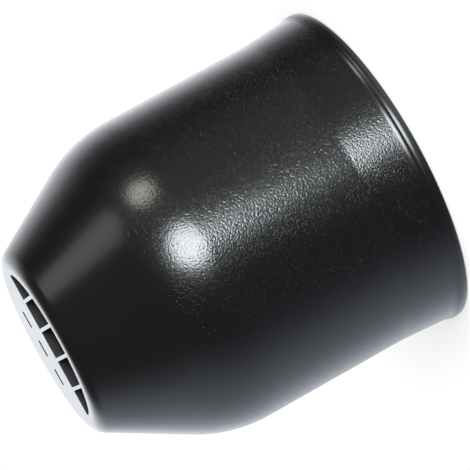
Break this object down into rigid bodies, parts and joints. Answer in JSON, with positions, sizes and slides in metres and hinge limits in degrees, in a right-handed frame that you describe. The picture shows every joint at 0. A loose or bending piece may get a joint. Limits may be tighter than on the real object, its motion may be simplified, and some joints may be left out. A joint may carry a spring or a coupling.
{
  "type": "tow ball cover",
  "caption": "Push-on moulded plastic cap for a tow ball: straight barrel with a beaded rim at the open mouth, cone to a flat closed end, grip ribs inside.",
  "frame": {"origin": "centre of the mouth's plane, on the shell's axis", "axes": "+Z along the shell's axis from the open mouth to the closed end; -Y towards the half of the closed end with the pockets"},
  "size_m": [0.066, 0.066, 0.0722],
  "materials": {
    "shell": "black injection-moulded plastic with a fine grain and a soft sheen"
  },
  "bodies": {
    "root": {"cover": "shell"}
  },
  "joints": []
}
